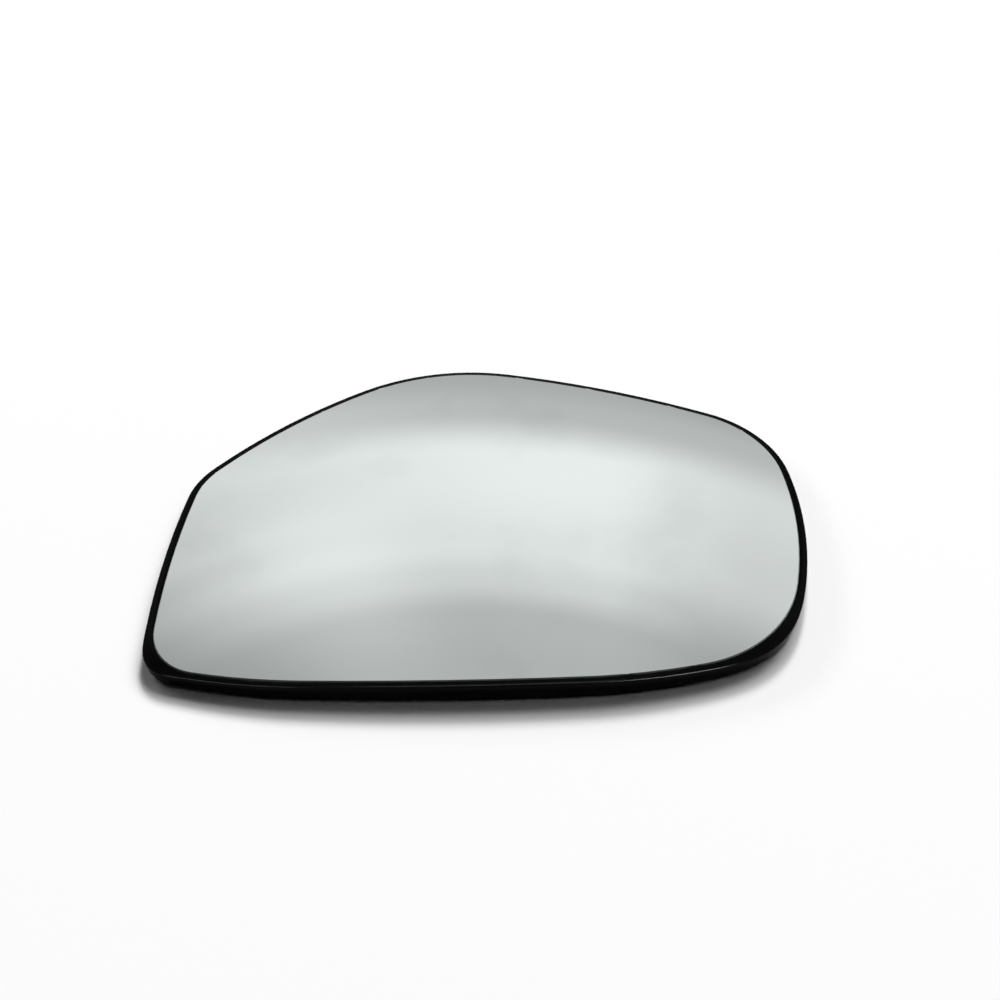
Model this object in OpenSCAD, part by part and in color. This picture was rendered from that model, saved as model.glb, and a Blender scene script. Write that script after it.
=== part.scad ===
// Door mirror glass for a car: a convex silvered glass bonded with a foam pad
// into a one-piece moulded holder that snaps onto the mirror actuator.
// Millimetres, +Z up. The glass faces up, the long side runs along X, and the
// socket ring behind the holder stands on z = 0 with its axis on the Z axis.

/* [Mirror glass] */
// Width of the glass along its long side
glass_w = 185; // [160:1:210]
// Height of the glass across its short side
glass_h = 130.4; // [110:0.2:145]
// Thickness of the glass
glass_t = 2; // [1.6:0.1:2.4]
// Spherical radius of the reflecting face
glass_r = 2000; // [1800:50:2600]
// Width of the ground chamfer around the front edge
glass_chamfer = 0.3; // [0.2:0.05:0.5]
// Height of the middle of the glass above the rear face of the socket ring
glass_z = 7.8; // [7.6:0.1:9]

/* [Adhesive pad] */
// Thickness of the double-sided foam pad
pad_t = 0.6; // [0.5:0.05:0.8]
// Distance from the edge of the glass in to the edge of the pad
pad_inset = 2.5; // [1.5:0.5:5]
// Diameter of the hole punched in the middle of the pad
pad_hole_d = 12; // [8:1:13]

/* [Holder plate and rim] */
// Wall thickness of the plate behind the pad
plate_t = 1.6; // [1.4:0.1:1.9]
// Clearance between the edge of the glass and the inside of the rim
glass_gap = 0.2; // [0.1:0.05:0.3]
// Distance from the edge of the glass out to the widest line of the rim, on the long sides
rim_w = 2; // [1.95:0.05:2.6]
// The same distance at the two ends
rim_end_w = 2.45; // [2:0.05:2.8]
// How far the outer line of the rim is set over to the far side of the glass
rim_shift = 0.1; // [0:0.05:0.15]
// Width that the rim gains at the near left corner, where it is squarer than the glass
left_corner_w = 1.8; // [0:0.1:2]
// Width that the rim gains at the near right corner
right_corner_w = 1.3; // [0:0.1:1.6]
// Width of the bevel that falls away from the glass
rim_bevel_w = 0.9; // [0.6:0.05:1]
// Drop of that bevel
rim_bevel_h = 0.33; // [0.2:0.01:0.45]
// Radius that rounds the lip over into the side wall
rim_lip_r = 0.6; // [0.4:0.05:0.7]
// Radius that rounds the side wall under at the back
rim_heel_r = 0.8; // [0.4:0.05:0.9]
// Draft of the side wall, as the width that it loses towards the back
rim_draft = 0.15; // [0.05:0.05:0.25]
// Height of the rear edge of the rim above the rear face of the socket ring
rim_z = 0.7; // [0.5:0.1:0.9]

/* [Actuator socket] */
// Inside diameter of the socket ring
socket_d = 56; // [48:1:58]
// Wall thickness of the socket ring
socket_wall = 2; // [1.6:0.1:2.6]
// Number of spring claws around the ring
claw_count = 6; // [4:2:6]
// Width of each spring claw
claw_w = 12; // [9:0.5:13]
// Width of the slots at the two sides of a claw
claw_slot = 1.4; // [1:0.1:1.6]
// How far the bead on a claw reaches into the ring
bead_in = 0.2; // [0.1:0.02:0.22]
// Width of the two keyways that stop the glass from turning
keyway_w = 6; // [5:0.5:7]
// Diameter of the hole that clears the pivot of the actuator
pivot_d = 18; // [14:1:18]

/* [Ribs and windows] */
// Thickness of the stiffening ribs
rib_t = 1.2; // [1:0.1:1.5]
// Angle between a radial rib and the middle of the fixed wall that it grows from
rib_splay = 12; // [8:0.5:12]
// Height of the rib edges above the rear face of the socket ring
rib_z = 1; // [0.9:0.1:1.3]
// Radius of the round rib outside the socket
ring_rib_r = 44; // [42:0.5:45]
// Distance from the edge of the glass in to the rib that follows the outline
edge_rib_inset = 12; // [10:0.5:13]
// Length of the two windows beside the socket
window_w = 18; // [14:1:18]
// Height of the two windows beside the socket
window_h = 15; // [10:1:16]
// Radius that rounds the corners of the windows
window_r = 2.5; // [1.5:0.5:4]
// Diameter of the four holes that locate the holder in the bonding jig
jig_hole_d = 5; // [4:0.5:6]

/* [Hidden] */
$fn = 128;

// Overshoot of a cutter past the faces that it cuts
over = 1;
// Floor under the curved sheets, below their lowest corner
base_z = -4;
// The largest gap between a curve and the flats that draw it
curve_tol = 0.025;

// Outline of the glass, counter-clockwise from the near left corner, drawn at the size
// ref_w x ref_h and then stretched to the wanted size. Each row is one sharp corner: x, y,
// the radius that rounds it, the radius of the bowed side from it to the next corner, and the
// width that the rim gains there.
ref_w = 185.1;
ref_h = 130.4;
outline_rows = [
    [-90.35, -58.8, 16.6, 177, left_corner_w],
    [-49.5, -64.95, 160, 915, 0],
    [26.9, -63.95, 120, 187, 0],
    [77.95, -53.3, 41.5, 124.5, right_corner_w],
    [88.85, 35.6, 32.4, 344, 0],
    [-18.6, 67.7, 65.9, 182, 0],
    [-90.4, 11.05, 22.3, 289, 0]
];
stretch = [glass_w / ref_w, glass_h / ref_h];
sides = len(outline_rows);
corner_pt = [for (row = outline_rows) [row[0], row[1]]];
corner_r = [for (row = outline_rows) row[2]];
side_r = [for (row = outline_rows) row[3]];
rim_gain = [for (row = outline_rows) row[4]];

// Stack behind the glass, as depths below the reflecting face
pad_d = glass_t;
plate_d = pad_d + pad_t;
back_d = plate_d + plate_t;
mid_plate_d = plate_d + plate_t / 2;

// Rim section. The bevel starts a little below the glass, and the land falls a little
bevel_top_d = 0.05;
land_fall = 0.02;
heel_end = 67.5;
// The plate reaches to the middle of the rim's wall
plate_w = (glass_gap + rim_w - rim_draft) / 2;
// Material left outside the rim for the trimming cutter to take off
rim_stock = 0.5;

// Reach of the sphere profiles, past the farthest corner
profile_r = 0.66 * norm([glass_w, glass_h]);
profile_fn = 1440;

// Socket ring
socket_r = socket_d / 2;
socket_out_r = socket_r + socket_wall;
sector_angle = 360 / claw_count;
claw_half = asin(claw_w / 2 / socket_r);
claw_angles = [for (i = [0 : claw_count - 1]) sector_angle * (i + 0.5)];
// Web left between the top of a slot and the plate
slot_web = 0.6;
// Bead inside a claw: height of its foot, lead-in, flat and back slope
bead_z = 0.5;
bead_lead = 0.55;
bead_flat = 0.15;
bead_back = 0.3;
// Angle that a bead stops short of each side of its claw
bead_margin = 1.5;
// The window over a bead reaches in past it, and out to a small step in the wall
bead_window_in = 3.6;
bead_window_step = 0.7;
// Overlap that fuses a bead or a rib with the wall behind it
root = 0.6;

jig_hole_r = (socket_out_r + ring_rib_r) / 2;
jig_hole_angles = [60, 120, 240, 300];
// Clearance between the round rib and a window
window_gap = 2.2;
window_x = ring_rib_r + rib_t + window_gap + window_w / 2;

function ang(v) = atan2(v[1], v[0]);
function next(i) = (i + 1) % sides;
function prev(i) = (i + sides - 1) % sides;
function past(a, b) = b < a ? b + 360 : b;

// Centre of the bowed side between the points a and b, on the inner side
function bow_centre(a, b, r) =
    let (d = b - a, l = norm(d), u = d / l)
    (a + b) / 2 - [u[1], -u[0]] * sqrt(r * r - l * l / 4);

side_c = [for (i = [0 : sides - 1]) bow_centre(corner_pt[i], corner_pt[next(i)], side_r[i])];

// Where two circles cross, taking the crossing nearer to the point p
function crossing(c1, r1, c2, r2, p) =
    let (
        d = c2 - c1,
        l = norm(d),
        a = (r1 * r1 - r2 * r2 + l * l) / (2 * l),
        h = sqrt(max(r1 * r1 - a * a, 0)),
        u = d / l,
        q1 = c1 + u * a + [-u[1], u[0]] * h,
        q2 = c1 + u * a - [-u[1], u[0]] * h
    )
    norm(q1 - p) < norm(q2 - p) ? q1 : q2;

corner_c = [
    for (i = [0 : sides - 1])
        let (j = prev(i))
        crossing(side_c[j], side_r[j] - corner_r[i], side_c[i], side_r[i] - corner_r[i], corner_pt[i])
];

// Steps that keep an arc within the tolerance
function steps(r, a) = max(1, ceil(a / (2 * acos(1 - curve_tol / r))));

// The arcs in order, each as centre, radius, first angle, sweep and the rim's gain in width
arcs = [
    for (i = [0 : sides - 1])
        let (
            j = next(i),
            a0 = ang(corner_c[i] - side_c[prev(i)]),
            a1 = past(a0, ang(corner_c[i] - side_c[i])),
            b1 = past(a1, ang(corner_c[j] - side_c[i]))
        )
        each [
            [corner_c[i], corner_r[i], a0, a1 - a0, rim_gain[i]],
            [side_c[i], side_r[i], a1, b1 - a1, 0]
        ]
];

// Width of the rim where the outline faces the angle a
function side_w(a) = rim_w + (rim_end_w - rim_w) * pow(cos(a), 2) + rim_shift * sin(a);

// Every outline station as an arc centre, its radius, an angle and the width of the rim
// there. The gain in width swells and fades smoothly along its corner
stations = [
    for (arc = arcs)
        let (n = steps(arc[1], arc[3]))
        for (k = [0 : n - 1])
            let (a = arc[2] + arc[3] * k / n)
            [arc[0], arc[1], a, side_w(a) + arc[4] * pow(sin(180 * k / n), 2)]
];

// The stretched point of a station, moved out by w along the stretched outline's normal, so
// that every offset outline keeps its stations
function station(s, w) =
    let (
        u = [cos(s[2]), sin(s[2])],
        p = s[0] + s[1] * u,
        n = [u[0] / stretch[0], u[1] / stretch[1]]
    )
    [p[0] * stretch[0], p[1] * stretch[1]] + w * n / norm(n);

// Height of the sphere at the depth d below the reflecting face, over the point p
function dome_z(p, d) =
    glass_z - glass_r + sqrt((glass_r - d) * (glass_r - d) - p[0] * p[0] - p[1] * p[1]);

// Heights of the plate's back at the outside and at the inside of the socket ring
plate_back_z = dome_z([socket_out_r, 0], back_d);
socket_top_z = dome_z([socket_r, 0], back_d);

// Outline of the glass, moved outwards by w
module outline(w = 0) {
    polygon([for (s = stations) station(s, w)]);
}

// Widest line of the rim, moved outwards by w
module rim_outline(w = 0) {
    polygon([for (s = stations) station(s, s[3] + w)]);
}

// Solid under the sphere at the depth d, down to the height z0
module dome(d, z0 = base_z) {
    rotate_extrude($fn = 180)
        intersection() {
            translate([0, glass_z - glass_r])
                circle(r = glass_r - d, $fn = profile_fn);
            translate([0, z0])
                square([profile_r, glass_z - z0 + over]);
        }
}

// Curved sheet between two depths, cut to the outline moved outwards by w
module sheet(d0, d1, w) {
    intersection() {
        difference() {
            dome(d0);
            dome(d1, base_z - over);
        }
        translate([0, 0, base_z - over])
            linear_extrude(height = glass_z - base_z + 2 * over)
                outline(w);
    }
}

// Closed sweep around the outline. Each section point is [w, z at the station]
module sweep(sections) {
    n = len(sections);
    m = len(sections[0]);
    points = [
        for (i = [0 : n - 1])
            for (p = sections[i])
                let (q = station(stations[i], p[0]))
                [q[0], q[1], p[1]]
    ];
    faces = [
        for (i = [0 : n - 1])
            for (k = [0 : m - 1])
                let (
                    a = i * m + k,
                    b = i * m + (k + 1) % m,
                    c = ((i + 1) % n) * m + (k + 1) % m,
                    d = ((i + 1) % n) * m + k
                )
                each [[a, b, c], [a, c, d]]
    ];
    polyhedron(points = points, faces = faces, convexity = 8);
}

// The ring of material that the ground chamfer takes off the front edge
module chamfer_cut() {
    c = glass_chamfer;
    sweep([
        for (s = stations)
            let (z = dome_z(station(s, 0), 0))
            [[-2 * c, z + c], [c, z - 2 * c], [c + over, z + c]]
    ]);
}

module mirror_glass() {
    color([0.78, 0.81, 0.82])
        difference() {
            sheet(0, pad_d, 0);
            chamfer_cut();
        }
}

module adhesive_pad() {
    color([0.16, 0.16, 0.17])
        difference() {
            sheet(pad_d, plate_d, -pad_inset);
            translate([0, 0, -over])
                cylinder(d = pad_hole_d, h = glass_z + 2 * over);
        }
}

// Arc of the rim section about [cw, cz], from the angle a0 to a1
function section_arc(cw, cz, r, a0, a1, n) =
    [for (k = [0 : n]) let (a = a0 + (a1 - a0) * k / n) [cw + r * cos(a), cz + r * sin(a)]];

// Everything outside the rim section at one station: the bevel beside the glass, the land,
// the lip, the drafted side wall and the heel, closed by a loop well clear of the rim
function trim_section(s) =
    let (
        z = dome_z(station(s, 0), 0),
        slope = rim_bevel_h / rim_bevel_w,
        land_z = z - bevel_top_d - rim_bevel_h,
        land_w = s[3] - rim_lip_r,
        heel_w = s[3] - rim_draft,
        heel = section_arc(heel_w - rim_heel_r, rim_z + rim_heel_r, rim_heel_r, 0, -heel_end, 3),
        run_out = heel[len(heel) - 1] - rim_heel_r * [sin(heel_end), cos(heel_end)]
    )
    concat(
        [
            [glass_gap - over, z - bevel_top_d + slope * over],
            [glass_gap + rim_bevel_w, land_z]
        ],
        section_arc(land_w, land_z - land_fall - rim_lip_r, rim_lip_r, 90, 0, 4),
        heel,
        [
            run_out,
            [s[3] + 2 * over, rim_z - rim_stock],
            [s[3] + 2 * over, z + 2 * over],
            [glass_gap - over, z + 2 * over]
        ]
    );

// Upright wall around the glass, the pad and the plate, before its section is trimmed
module rim_block() {
    intersection() {
        translate([0, 0, rim_z])
            linear_extrude(height = glass_z)
                difference() {
                    rim_outline(rim_stock);
                    outline(glass_gap);
                }
        dome(-rim_stock, rim_z - over);
    }
}

module rim_trim() {
    sweep([for (s = stations) trim_section(s)]);
}

// Turned segment of a section, centred on the angle a and reaching half an angle each way
module segment(a, half) {
    rotate([0, 0, a - half])
        rotate_extrude(angle = 2 * half)
            children();
}

// Slot through the socket ring from its rear face up, at the angle a and beside it by off
module ring_slot(a, off, w) {
    rotate([0, 0, a])
        translate([socket_r - over, off - w / 2, -over])
            cube([socket_wall + 2 * over, w, plate_back_z - slot_web + over]);
}

// Socket ring: spring claws between slots, a bead inside each claw, two keyways
module socket_ring() {
    root_z = dome_z([0, 0], mid_plate_d);
    difference() {
        cylinder(r = socket_out_r, h = root_z);
        translate([0, 0, -over])
            cylinder(r = socket_r, h = root_z + 2 * over);
        for (a = claw_angles)
            for (side = [-1, 1])
                ring_slot(a, side * (claw_w + claw_slot) / 2, claw_slot);
        for (a = [0, 180])
            ring_slot(a, 0, keyway_w);
    }
    for (a = claw_angles)
        segment(a, claw_half - bead_margin)
            polygon([
                [socket_r + root, bead_z],
                [socket_r, bead_z],
                [socket_r - bead_in, bead_z + bead_lead],
                [socket_r - bead_in, bead_z + bead_lead + bead_flat],
                [socket_r, bead_z + bead_lead + bead_flat + bead_back],
                [socket_r + root, bead_z + bead_lead + bead_flat + bead_back]
            ]);
}

// Radial ribs, one at each side of every fixed wall between two claws
module radial_ribs() {
    for (i = [0 : claw_count - 1])
        for (side = [-1, 1])
            rotate([0, 0, i * sector_angle + side * rib_splay])
                translate([socket_out_r - root, -rib_t / 2, rib_z])
                    cube([profile_r, rib_t, glass_z]);
}

module ribs() {
    intersection() {
        union() {
            radial_ribs();
            translate([0, 0, rib_z])
                linear_extrude(height = glass_z) {
                    difference() {
                        circle(r = ring_rib_r + rib_t);
                        circle(r = ring_rib_r);
                    }
                    difference() {
                        outline(-edge_rib_inset);
                        outline(-edge_rib_inset - rib_t);
                    }
                }
        }
        dome(mid_plate_d);
        translate([0, 0, -over])
            linear_extrude(height = glass_z + 2 * over)
                outline(glass_gap + root);
    }
}

// Rounded window through the plate
module window(w, h, r) {
    translate([0, 0, -over])
        linear_extrude(height = glass_z + 2 * over)
            union() {
                square([w - 2 * r, h], center = true);
                square([w, h - 2 * r], center = true);
                for (x = [-1, 1])
                    for (y = [-1, 1])
                        translate([x * (w / 2 - r), y * (h / 2 - r)])
                            circle(r = r, $fn = 48);
            }
}

module plate() {
    difference() {
        sheet(plate_d, back_d, plate_w);
        translate([0, 0, -over])
            cylinder(d = pivot_d, h = glass_z + 2 * over);
        for (side = [-1, 1])
            translate([side * window_x, 0, 0])
                window(window_w, window_h, window_r);
        for (a = jig_hole_angles)
            rotate([0, 0, a])
                translate([jig_hole_r, 0, -over])
                    cylinder(d = jig_hole_d, h = glass_z + 2 * over);
    }
}

// Windows over the beads, through which the cores of the mould reach them from the front
module bead_windows() {
    for (a = claw_angles)
        segment(a, claw_half)
            translate([socket_r - bead_window_in, socket_top_z])
                square([bead_window_in + bead_window_step, glass_z]);
}

module holder() {
    color([0.045, 0.045, 0.05])
        difference() {
            union() {
                plate();
                rim_block();
                socket_ring();
                ribs();
            }
            rim_trim();
            bead_windows();
        }
}

mirror_glass();
adhesive_pad();
holder();
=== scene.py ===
# %% [markdown]
# # A car door mirror glass
# The object is the glass that clips into a car's door mirror: a gently domed silvered glass
# in a one-piece black plastic holder. It lies face up on a white table, seen from its long
# near side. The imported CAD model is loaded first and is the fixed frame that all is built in.

import math

import bpy
from mathutils import Matrix, Vector


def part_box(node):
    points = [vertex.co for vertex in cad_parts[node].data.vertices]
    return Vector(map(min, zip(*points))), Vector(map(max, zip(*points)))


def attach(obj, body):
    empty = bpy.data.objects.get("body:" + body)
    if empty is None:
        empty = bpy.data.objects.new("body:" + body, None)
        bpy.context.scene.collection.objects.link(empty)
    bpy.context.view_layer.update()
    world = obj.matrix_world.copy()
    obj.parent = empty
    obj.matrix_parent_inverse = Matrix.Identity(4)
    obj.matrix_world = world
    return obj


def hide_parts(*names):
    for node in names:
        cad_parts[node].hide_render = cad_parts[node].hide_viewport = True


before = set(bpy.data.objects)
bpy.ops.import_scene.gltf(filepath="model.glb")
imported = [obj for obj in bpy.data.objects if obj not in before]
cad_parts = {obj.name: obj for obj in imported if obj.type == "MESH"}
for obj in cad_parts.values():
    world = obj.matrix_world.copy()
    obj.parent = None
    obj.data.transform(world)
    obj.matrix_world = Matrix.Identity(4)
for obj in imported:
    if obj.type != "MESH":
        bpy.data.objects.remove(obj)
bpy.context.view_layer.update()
print("CAD nodes:", sorted(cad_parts))

# %% [markdown]
# ## Sizes
# The few sizes that the look depends on are the ones that the CAD model was driven by. They
# are written in millimetres, because that is how the glass would be measured, and one helper
# turns them to Blender's metres.


# %% Sizes in millimetres
def mm(value):
    return value / 1000.0


GLASS_RADIUS = mm(2000)
GLASS_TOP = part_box("mirror_glass")[1].z
GLASS_THICKNESS = mm(2)
GLASS_CHAMFER = mm(0.3)
MESH_STEP = mm(3)
print("top of the glass is", round(GLASS_TOP * 1000, 2), "mm above the table")

# %% [markdown]
# ## Camera
# The photo was taken by hand from in front of the long near edge, looking down at about 44
# degrees, from a hand's breadth or two away, so near things look clearly larger than far
# ones. A camera is set by its place, its pitch and its focal length. These were found by
# matching the edge of the glass, all the way round, with the edge in the photo.

# %% Camera at the photo's place
CAMERA_PLACE = Vector((mm(1.52), mm(-218.45), mm(219.93)))
CAMERA_PITCH = 44.08
CAMERA_YAW = 0.32
CAMERA_ROLL = 0.18
CAMERA_LENS = 36.1
SENSOR_WIDTH = 36

camera_data = bpy.data.cameras.new("camera")
camera_data.lens = CAMERA_LENS
camera_data.sensor_width = SENSOR_WIDTH
camera_data.clip_start = mm(10)
camera = bpy.data.objects.new("camera", camera_data)
turn = (
    Matrix.Rotation(math.radians(-CAMERA_YAW), 4, "Z")
    @ Matrix.Rotation(math.radians(90 - CAMERA_PITCH), 4, "X")
    @ Matrix.Rotation(math.radians(CAMERA_ROLL), 4, "Z")
)
camera.matrix_world = Matrix.Translation(CAMERA_PLACE) @ turn
bpy.context.scene.collection.objects.link(camera)
bpy.context.scene.camera = camera
bpy.context.scene.view_settings.view_transform = "Standard"
print("camera pitch", CAMERA_PITCH, "lens", CAMERA_LENS)

# %% [markdown]
# ## Helpers for materials
# Colours are chosen on screen, as sRGB hex values, but a shader works in linear light, so
# one function converts them. Another adds one node to a material, with its settings and the
# links into it, so that each material below reads as a short list of what it is made of. The
# scale of a pattern is one over the size of its grain, so each grain is given as a size.


# %% Colour and node helpers
def linear(hex_colour, alpha=1.0):
    values = [int(hex_colour[i : i + 2], 16) / 255 for i in (1, 3, 5)]
    curve = [v / 12.92 if v <= 0.04045 else ((v + 0.055) / 1.055) ** 2.4 for v in values]
    return (*curve, alpha)


def add_node(tree, kind, settings=None, **inputs):
    node = tree.nodes.new(kind)
    for name, value in (settings or {}).items():
        setattr(node, name, value)
    for name, value in inputs.items():
        key = int(name[1:]) if name[0] == "_" else name.replace("_", " ")
        socket = node.inputs[key]
        if isinstance(value, bpy.types.NodeSocket):
            tree.links.new(value, socket)
        else:
            socket.default_value = value
    return node


def new_material(name):
    material = bpy.data.materials.new(name)
    material.use_nodes = True
    tree = material.node_tree
    tree.nodes.clear()
    output = add_node(tree, "ShaderNodeOutputMaterial")
    return material, tree, output


def finish_material(tree, output, shader):
    tree.links.new(shader.outputs[0], output.inputs["Surface"])


print("white is", linear("#FFFFFF"), "and mid grey is", linear("#808080"))

# %% [markdown]
# ## The table and the light
# The part lies on a plain white table among soft white screens, and none of them is modelled.
# The lamps stand behind the part, high and to both sides, so that the near side of the black
# rim and the table at its foot are in shadow, as in the photo. Together with the world they
# give about as much light as makes a white table just white. A lamp would show in the glass,
# so only the table and the matt surfaces see the lamps.

# %% Table
TABLE_SIZE = 2.0
bpy.ops.object.select_all(action="DESELECT")
bpy.ops.mesh.primitive_plane_add(size=TABLE_SIZE, location=(0, 0, 0))
table = bpy.context.active_object
table.name = "table"

material, tree, output = new_material("white_table")
table_paint = add_node(
    tree,
    "ShaderNodeBsdfPrincipled",
    Base_Color=linear("#FDFDFD"),
    Roughness=0.6,
    Specular_IOR_Level=0.0,
)
finish_material(tree, output, table_paint)
table.data.materials.append(material)
print("table:", TABLE_SIZE, "m square,", material.name)

# %% Soft lamps
# Each row is azimuth and height in degrees, width and height in metres, and power.
LAMP_DISTANCE = 12.0
LAMPS = {
    "lamp_back": (6, 39, 2.1, 2.5, 860.0),
    "lamp_screen": (25, 46, 7.7, 5.7, 950.0),
    "lamp_right": (64, 43, 11.4, 6.5, 172.0),
    "lamp_left": (-47, 20, 5.7, 1.9, 300.0),
}


def add_lamp(name, distance, azimuth, elevation, width, height, power):
    lamp_data = bpy.data.lights.new(name, "AREA")
    lamp_data.shape = "RECTANGLE"
    lamp_data.size = width
    lamp_data.size_y = height
    lamp_data.energy = power
    lamp = bpy.data.objects.new(name, lamp_data)
    a, e = math.radians(azimuth), math.radians(elevation)
    direction = Vector((math.sin(a) * math.cos(e), math.cos(a) * math.cos(e), math.sin(e)))
    aim = direction.to_track_quat("Z", "Y").to_matrix().to_4x4()
    lamp.matrix_world = Matrix.Translation(direction * distance) @ aim
    lamp.visible_camera = False
    bpy.context.scene.collection.objects.link(lamp)
    return lamp


for name, row in LAMPS.items():
    add_lamp(name, LAMP_DISTANCE, *row).visible_glossy = False
print("lamps:", list(LAMPS))

# %% [markdown]
# ## What the glass mirrors
# A mirror looks like nothing but what stands around it, so the world is what gives the glass
# its look. It is made of pale walls whose brightness changes softly with height. One wall
# stands in the middle behind the part, one to its left and one to its right, each fading into
# the next, and a plainer one stands in front. Matt surfaces get only a share of this light,
# and the camera itself sees plain white.

# %% Brightness of the walls
# Each wall is a list of brightness stops. A stop's place is the sine of its height angle, 0 at
# the horizon and 1 overhead. The walls hang a little lower at the left than at the right.
MIDDLE_WALL = [
    (0.00, 0.25),
    (0.35, 0.30),
    (0.55, 0.48),
    (0.595, 0.58),
    (0.645, 1.00),
    (0.67, 1.00),
    (0.74, 0.92),
    (0.77, 0.78),
    (0.80, 0.56),
    (0.84, 0.53),
    (1.00, 0.45),
]
LEFT_WALL = [
    (0.00, 0.25),
    (0.35, 0.30),
    (0.52, 0.35),
    (0.60, 0.85),
    (0.70, 0.53),
    (0.73, 0.37),
    (0.78, 0.20),
    (1.00, 0.45),
]
RIGHT_WALL = [
    (0.00, 0.25),
    (0.35, 0.30),
    (0.52, 0.20),
    (0.59, 0.57),
    (0.64, 0.81),
    (0.72, 0.73),
    (0.80, 0.41),
    (1.00, 0.45),
]
FRONT_WALL = [(0.00, 0.25), (0.40, 0.55), (0.70, 0.55), (1.00, 0.45)]
WALL_TILT = 0.03
DIFFUSE_SHARE = 0.3

# Two soft folds make the left of the back wall paler. A fold's row is its place to the right
# and half width, its height and half height, all as sines, and the brightness that it adds.
FOLDS = [
    (-0.25, 0.20, 0.74, 0.10, 0.23),
    (-0.15, 0.15, 0.80, 0.11, 0.12),
]

# Where one wall starts to fade into the next and where it ends, to the right and to the back.
LEFT_FADE = (0.07, -0.59)
RIGHT_FADE = (0.12, 0.32)
BACK_FADE = (-0.1, 0.3)
print("brightness stops:", sum(len(w) for w in (MIDDLE_WALL, LEFT_WALL, RIGHT_WALL, FRONT_WALL)))

# %% World and its helpers
world = bpy.data.worlds.new("soft_screens")
world.use_nodes = True
bpy.context.scene.world = world
tree = world.node_tree
tree.nodes.clear()
place = add_node(tree, "ShaderNodeTexCoord")
parts = add_node(tree, "ShaderNodeSeparateXYZ", Vector=place.outputs["Generated"])
rightward, backward, upward = (parts.outputs[axis] for axis in "XYZ")


def maths(operation, first, second=0.0):
    node = add_node(tree, "ShaderNodeMath", {"operation": operation}, _0=first, _1=second)
    return node.outputs[0]


def soft_step(value, start, end):
    settings = {"interpolation_type": "SMOOTHSTEP"}
    node = add_node(
        tree, "ShaderNodeMapRange", settings, Value=value, From_Min=start, From_Max=end
    )
    return node.outputs[0]


def mix(amount, first, second):
    settings = {"data_type": "RGBA"}
    node = add_node(tree, "ShaderNodeMix", settings, _0=amount, _6=first, _7=second)
    return node.outputs[2]


print("world:", world.name)


# %% Walls
def wall_ramp(stops):
    ramp = add_node(tree, "ShaderNodeValToRGB", Fac=height)
    ramp.color_ramp.interpolation = "EASE"
    points = ramp.color_ramp.elements
    points[0].color = (*[stops[0][1]] * 3, 1)
    points[1].color = (*[stops[-1][1]] * 3, 1)
    for position, level in stops[1:-1]:
        points.new(position).color = (level, level, level, 1)
    return ramp.outputs[0]


def with_folds(wall):
    for x, half_width, z, half_height, level in FOLDS:
        across = maths("ABSOLUTE", maths("SUBTRACT", rightward, x))
        along = maths("ABSOLUTE", maths("SUBTRACT", upward, z))
        shape = maths(
            "MULTIPLY", soft_step(across, half_width, 0.0), soft_step(along, half_height, 0.0)
        )
        glow = maths("MULTIPLY", shape, level)
        added = add_node(tree, "ShaderNodeVectorMath", {"operation": "ADD"}, _0=wall, _1=glow)
        wall = added.outputs[0]
    return wall


height = maths("SUBTRACT", upward, maths("MULTIPLY", rightward, WALL_TILT))
back_wall = mix(
    soft_step(rightward, *LEFT_FADE), wall_ramp(MIDDLE_WALL), wall_ramp(LEFT_WALL)
)
back_wall = mix(soft_step(rightward, *RIGHT_FADE), back_wall, wall_ramp(RIGHT_WALL))
print("back wall made of", len(tree.nodes), "nodes")

# %% What each kind of ray sees
black, white = linear("#000000"), linear("#FFFFFF")
dimmed = mix(DIFFUSE_SHARE, black, back_wall)
behind = soft_step(backward, *BACK_FADE)
lit = mix(behind, black, dimmed)
mirrored = mix(behind, wall_ramp(FRONT_WALL), with_folds(back_wall))
path = add_node(tree, "ShaderNodeLightPath")
seen = mix(path.outputs["Is Glossy Ray"], lit, mirrored)
seen = mix(path.outputs["Is Camera Ray"], seen, white)
background = add_node(tree, "ShaderNodeBackground", Color=seen, Strength=1.0)
output = add_node(tree, "ShaderNodeOutputWorld")
tree.links.new(background.outputs[0], output.inputs["Surface"])
print("world made of", len(tree.nodes), "nodes")

# %% [markdown]
# ## Helpers for modelling
# The new pieces are modelled as by hand, with Blender's own edit tools. Each starts from a
# copy of the CAD piece, merged, because the outline of the copy is already right to the
# hundredth of a millimetre. What is selected is always chosen in code, by place or by
# facing.

# %% Modelling helpers
SAME_POINT = mm(0.001)
SMOOTH_UP_TO = math.radians(30)


def only(obj):
    bpy.ops.object.select_all(action="DESELECT")
    obj.select_set(True)
    bpy.context.view_layer.objects.active = obj


def copy_of_node(node, name):
    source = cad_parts[node]
    piece = bpy.data.objects.new(name, source.data.copy())
    bpy.context.scene.collection.objects.link(piece)
    piece.data.materials.clear()
    only(piece)
    bpy.ops.mesh.customdata_custom_splitnormals_clear()
    bpy.ops.object.mode_set(mode="EDIT")
    bpy.ops.mesh.select_all(action="SELECT")
    bpy.ops.mesh.remove_doubles(threshold=SAME_POINT)
    bpy.ops.mesh.select_all(action="DESELECT")
    bpy.ops.object.mode_set(mode="OBJECT")
    return piece


def select_faces(piece, test):
    bpy.ops.object.mode_set(mode="OBJECT")
    mesh = piece.data
    for item in (*mesh.vertices, *mesh.edges, *mesh.polygons):
        item.select = False
    for face in mesh.polygons:
        face.select = test(face)
    bpy.context.tool_settings.mesh_select_mode = (False, False, True)
    bpy.ops.object.mode_set(mode="EDIT")


def dome_height(x, y):
    return GLASS_TOP - GLASS_RADIUS + math.sqrt(GLASS_RADIUS**2 - x * x - y * y)


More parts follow.
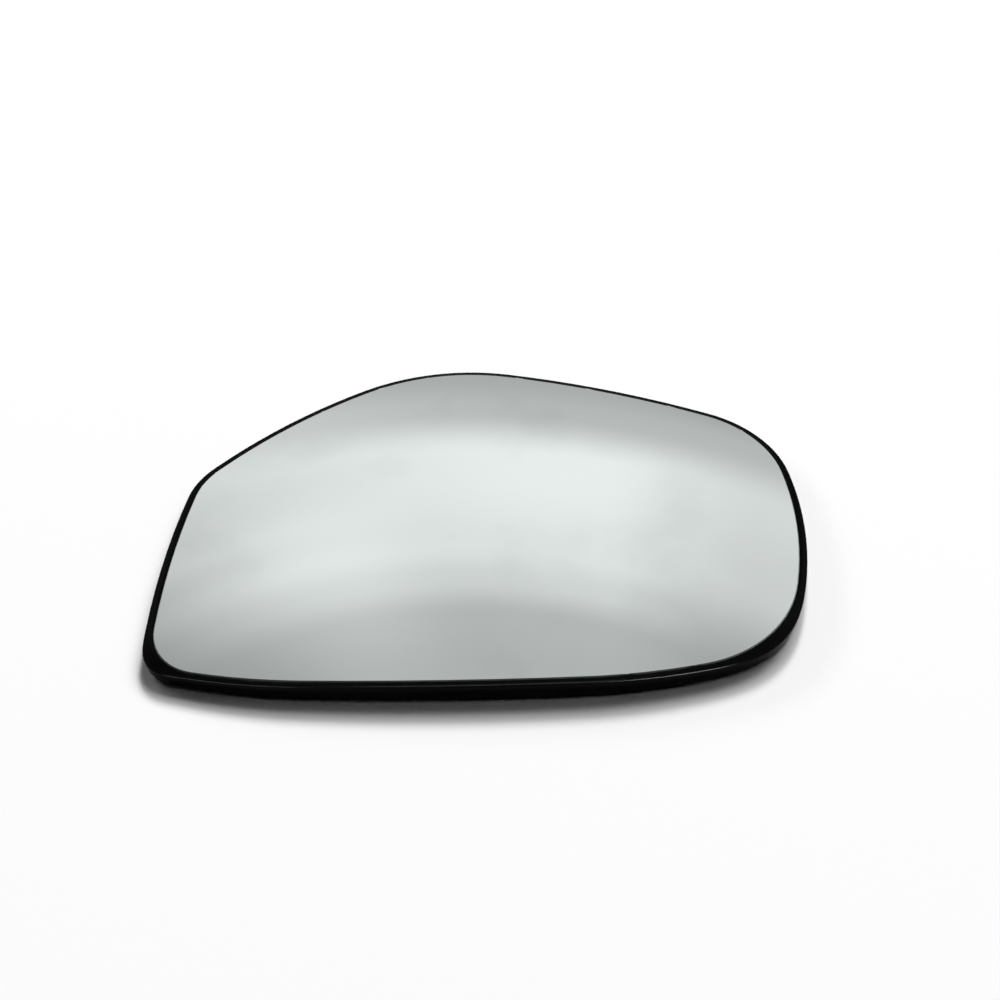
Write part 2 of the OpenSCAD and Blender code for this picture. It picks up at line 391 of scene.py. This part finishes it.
print("the dome falls", round((GLASS_TOP - dome_height(mm(90), 0)) * 1000, 2), "mm in 90 mm")

# %% [markdown]
# ## The glass
# The real glass is 2 mm float glass, sagged over a mould to a sphere of 2 m radius and
# silvered on its back, and its front edge is ground so that it doesn't cut. What matters
# most is that a mirror shows every facet of its mesh. The CAD piece is true to a few
# hundredths of a millimetre, but its few wide triangles would break the reflection up. So its
# back face is taken as one flat outline, an inset makes room for the ground edge, a grid of
# bisecting cuts divides it, and every point is then raised to the sphere. Extruding it by
# the thickness gives the front.

# %% Flat outline with a margin for the ground edge
glass = copy_of_node("mirror_glass", "silvered_glass")
select_faces(glass, lambda face: face.normal.z > -0.5)
bpy.ops.mesh.delete(type="FACE")
bpy.ops.mesh.select_all(action="SELECT")
bpy.ops.transform.resize(value=(1, 1, 0), center_override=(0, 0, 0))
bpy.ops.mesh.dissolve_limited(angle_limit=math.radians(0.1))
bpy.ops.mesh.select_all(action="SELECT")
bpy.ops.mesh.flip_normals()
bpy.ops.mesh.inset(thickness=GLASS_CHAMFER, depth=0, use_boundary=True)
bpy.ops.object.mode_set(mode="OBJECT")
print("points round the outline and its margin:", len(glass.data.vertices))

# %% Grid of cuts over the face
low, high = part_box("mirror_glass")
for axis in (0, 1):
    first = math.ceil(low[axis] / MESH_STEP)
    last = math.floor(high[axis] / MESH_STEP)
    normal = [0, 0, 0]
    normal[axis] = 1
    for step in range(first, last + 1):
        at = [0, 0, 0]
        at[axis] = step * MESH_STEP
        select_faces(glass, lambda face: True)
        bpy.ops.mesh.bisect(plane_co=at, plane_no=normal, threshold=SAME_POINT)
bpy.ops.object.mode_set(mode="OBJECT")
print("faces of the grid:", len(glass.data.polygons))

# %% Thickness, ground edge and dome
bpy.ops.object.mode_set(mode="EDIT")
bpy.ops.mesh.select_all(action="SELECT")
bpy.ops.mesh.extrude_region_move(TRANSFORM_OT_translate={"value": (0, 0, -GLASS_THICKNESS)})
bpy.ops.mesh.select_all(action="SELECT")
bpy.ops.mesh.normals_make_consistent(inside=False)
bpy.ops.object.mode_set(mode="OBJECT")
mesh = glass.data
rim_points = {i for face in mesh.polygons if abs(face.normal.z) < 0.5 for i in face.vertices}
for vertex in mesh.vertices:
    x, y, z = vertex.co
    ground = GLASS_CHAMFER if vertex.index in rim_points and z > -GLASS_THICKNESS / 2 else 0
    vertex.co.z = z - ground + dome_height(x, y)
mesh.update()
print("glass box:", [round(v * 1000, 2) for v in (*low, *high)])

# %% [markdown]
# ## The finish of the glass
# Three surfaces of the one sheet look different. The front shows the silver through the
# glass: a metal-like reflection that loses a sixth of the light and turns it faintly green,
# with a few faint finger smudges that soften and dull it a little. The edge was ground with
# fine grit, so it scatters light and shows as a thin grey-green line. The back carries the
# grey paint that guards the silver.

# %% Silvered front
SMUDGE_SIZE = mm(35.7)
SMUDGE_ROUGHNESS = 0.04

silver, tree, output = new_material("silvered_float_glass")
where = add_node(tree, "ShaderNodeTexCoord").outputs["Object"]
smudge = add_node(tree, "ShaderNodeTexNoise", Vector=where, Scale=1 / SMUDGE_SIZE, Detail=3.0)
smudge_edge = add_node(
    tree, "ShaderNodeMapRange", Value=smudge.outputs[0], From_Min=0.55, From_Max=0.75
)
smudge_blur = add_node(
    tree,
    "ShaderNodeMath",
    {"operation": "MULTIPLY"},
    _0=smudge_edge.outputs[0],
    _1=SMUDGE_ROUGHNESS,
)
smudge_tone = add_node(
    tree,
    "ShaderNodeMix",
    {"data_type": "RGBA"},
    _0=smudge_edge.outputs[0],
    _6=linear("#E7EDEB"),
    _7=linear("#DFE5E3"),
)
silver_shader = add_node(
    tree,
    "ShaderNodeBsdfPrincipled",
    Base_Color=smudge_tone.outputs[2],
    Metallic=1.0,
    Roughness=smudge_blur.outputs[0],
)
finish_material(tree, output, silver_shader)
print("material:", silver.name)

# %% Ground edge
# The grit leaves a matt, slightly green surface. Real grit is about 0.05 mm, and it is drawn
# ten times as coarse so that it shows.
GRIT_SIZE = mm(0.555)

ground_edge, tree, output = new_material("ground_glass_edge")
where = add_node(tree, "ShaderNodeTexCoord").outputs["Object"]
grit = add_node(tree, "ShaderNodeTexNoise", Vector=where, Scale=1 / GRIT_SIZE, Detail=2.0)
grit_bump = add_node(
    tree, "ShaderNodeBump", Strength=0.2, Distance=mm(0.1), Height=grit.outputs[0]
)
edge_shader = add_node(
    tree,
    "ShaderNodeBsdfPrincipled",
    Base_Color=linear("#9DA8A4"),
    Roughness=0.6,
    Specular_IOR_Level=0.1,
    Normal=grit_bump.outputs[0],
)
finish_material(tree, output, edge_shader)
print("material:", ground_edge.name)

# %% Painted back
# The paint is rolled on, which leaves a fine orange peel about a millimetre wide.
PEEL_SIZE = mm(1.11)

back_paint, tree, output = new_material("mirror_backing_paint")
where = add_node(tree, "ShaderNodeTexCoord").outputs["Object"]
roller = add_node(tree, "ShaderNodeTexNoise", Vector=where, Scale=1 / PEEL_SIZE, Detail=2.0)
roller_bump = add_node(
    tree, "ShaderNodeBump", Strength=0.15, Distance=mm(0.1), Height=roller.outputs[0]
)
paint_shader = add_node(
    tree,
    "ShaderNodeBsdfPrincipled",
    Base_Color=linear("#5C6064"),
    Roughness=0.45,
    Normal=roller_bump.outputs[0],
)
finish_material(tree, output, paint_shader)
print("material:", back_paint.name)

# %% Materials on the glass
for finish in (silver, ground_edge, back_paint):
    glass.data.materials.append(finish)
for face in glass.data.polygons:
    if face.normal.z > 0.9:
        face.material_index = 0
    elif face.normal.z < -0.9:
        face.material_index = 2
    else:
        face.material_index = 1
only(glass)
bpy.ops.object.shade_smooth_by_angle(angle=SMOOTH_UP_TO)
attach(glass, "root")
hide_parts("mirror_glass")
print("glass faces:", len(glass.data.polygons))

# %% [markdown]
# ## The holder
# The holder is one injection-moulded piece: the rim round the glass, the plate behind it, the
# ribs and the socket ring with its claws. Its CAD shape is right, so the copy keeps it. A
# moulding has no perfectly sharp edge, though, and its curved walls must look round, so the
# copy is merged and smoothed.

# %% Holder copy
holder = copy_of_node("holder", "moulded_holder")
only(holder)
bpy.ops.object.shade_smooth_by_angle(angle=SMOOTH_UP_TO)
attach(holder, "root")
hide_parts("holder")
print("holder faces:", len(holder.data.polygons))

# %% [markdown]
# ## Black plastic
# The holder is moulded in black ABS. The half of the tool that shapes the rim is polished, so
# the rim reflects sharply, almost like paint, over a black that gives back next to nothing,
# and a very low waviness from the shrinking wall breaks the reflections a little. The other
# half, behind the glass, is left as the spark eroded it, so the plate, the ribs and the
# socket are a dull, fine-grained black.

# %% Black plastic finish
# ABS has an IOR of about 1.5. The rim of this one shows hardly anything of what stands around
# it, so a much lower value is used.
WAVE_SIZE = mm(16.7)
HAZE_SIZE = mm(2.86)

plastic, tree, output = new_material("glossy_moulded_abs")
where = add_node(tree, "ShaderNodeTexCoord").outputs["Object"]
wave = add_node(tree, "ShaderNodeTexNoise", Vector=where, Scale=1 / WAVE_SIZE, Detail=2.0)
wave_bump = add_node(
    tree, "ShaderNodeBump", Strength=0.1, Distance=mm(0.2), Height=wave.outputs[0]
)
haze = add_node(tree, "ShaderNodeTexNoise", Vector=where, Scale=1 / HAZE_SIZE, Detail=4.0)
haze_range = add_node(
    tree,
    "ShaderNodeMapRange",
    Value=haze.outputs[0],
    From_Min=0.3,
    From_Max=0.8,
    To_Min=0.11,
    To_Max=0.20,
)
plastic_shader = add_node(
    tree,
    "ShaderNodeBsdfPrincipled",
    Base_Color=linear("#010101"),
    Roughness=haze_range.outputs[0],
    IOR=1.12,
    Normal=wave_bump.outputs[0],
)
finish_material(tree, output, plastic_shader)
print("material:", plastic.name)

# %% Eroded black plastic finish
# Spark erosion leaves a grain of about 0.1 mm, drawn a few times as coarse so that it shows.
GRAIN_SIZE = mm(0.455)
FLOW_SIZE = mm(22.2)

rear_plastic, tree, output = new_material("eroded_moulded_abs")
where = add_node(tree, "ShaderNodeTexCoord").outputs["Object"]
grain = add_node(tree, "ShaderNodeTexNoise", Vector=where, Scale=1 / GRAIN_SIZE, Detail=3.0)
grain_bump = add_node(
    tree, "ShaderNodeBump", Strength=0.25, Distance=mm(0.1), Height=grain.outputs[0]
)
flow_marks = add_node(tree, "ShaderNodeTexNoise", Vector=where, Scale=1 / FLOW_SIZE, Detail=2.0)
dull_range = add_node(
    tree,
    "ShaderNodeMapRange",
    Value=flow_marks.outputs[0],
    From_Min=0.3,
    From_Max=0.7,
    To_Min=0.46,
    To_Max=0.50,
)
rear_shader = add_node(
    tree,
    "ShaderNodeBsdfPrincipled",
    Base_Color=linear("#191A1B"),
    Roughness=dull_range.outputs[0],
    Normal=grain_bump.outputs[0],
)
finish_material(tree, output, rear_shader)
print("material:", rear_plastic.name)

# %% Finishes on the holder
# A face is behind the glass if a line straight up from far below it meets the glass.
FAR_BELOW = mm(-50)


def behind_glass(face):
    start = Vector((face.center.x, face.center.y, FAR_BELOW))
    return glass.ray_cast(start, Vector((0, 0, 1)))[0]


for finish in (plastic, rear_plastic):
    holder.data.materials.append(finish)
bpy.context.view_layer.update()
for face in holder.data.polygons:
    if face.normal.z < 0.5 and behind_glass(face):
        face.material_index = 1
dull = sum(face.material_index for face in holder.data.polygons)
print("dull faces:", dull, "of", len(holder.data.polygons))

# %% [markdown]
# ## Streaks on the rim
# In the photo, small bright lamps draw short pale streaks along the near lip of the rim,
# strongest near the right corner. Such lamps would show as white patches in the mirror and
# thin the shadow, so these three are linked to the holder alone. They stand high, because a
# low lamp would glare on the far side of the rim when that is seen from behind.

# %% Lamps for the holder alone
RIM_LAMP_DISTANCE = 1.0
RIM_LAMPS = {
    "rim_right": (132, 55, 0.10, 0.50, 24.0),
    "rim_left": (-121, 55, 0.14, 0.50, 6.5),
    "rim_top": (0, 75, 0.40, 0.16, 3.2),
}
rim_only = bpy.data.collections.new("rim_only")
rim_only.objects.link(holder)
for name, row in RIM_LAMPS.items():
    lamp = add_lamp(name, RIM_LAMP_DISTANCE, *row)
    lamp.light_linking.receiver_collection = rim_only
print("lamps for the rim:", list(RIM_LAMPS))

# %% [markdown]
# ## The foam pad
# A die-cut sheet of closed-cell foam tape, 0.6 mm thick, holds the glass in the holder. Only
# its edge and the parts behind the holder's windows can be seen. The CAD piece has its full
# shape, so it only needs the look of cut foam: dull, with small round cells.

# %% Foam pad
CELL_SIZE = mm(0.4)

foam, tree, output = new_material("closed_cell_foam")
where = add_node(tree, "ShaderNodeTexCoord").outputs["Object"]
cells = add_node(tree, "ShaderNodeTexVoronoi", Vector=where, Scale=1 / CELL_SIZE)
cell_bump = add_node(
    tree, "ShaderNodeBump", Strength=0.35, Distance=mm(0.2), Height=cells.outputs[0]
)
foam_shader = add_node(
    tree,
    "ShaderNodeBsdfPrincipled",
    Base_Color=linear("#2A2A2C"),
    Roughness=0.85,
    Normal=cell_bump.outputs[0],
)
finish_material(tree, output, foam_shader)
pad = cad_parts["adhesive_pad"]
pad.data.materials.clear()
pad.data.materials.append(foam)
print("material:", foam.name)
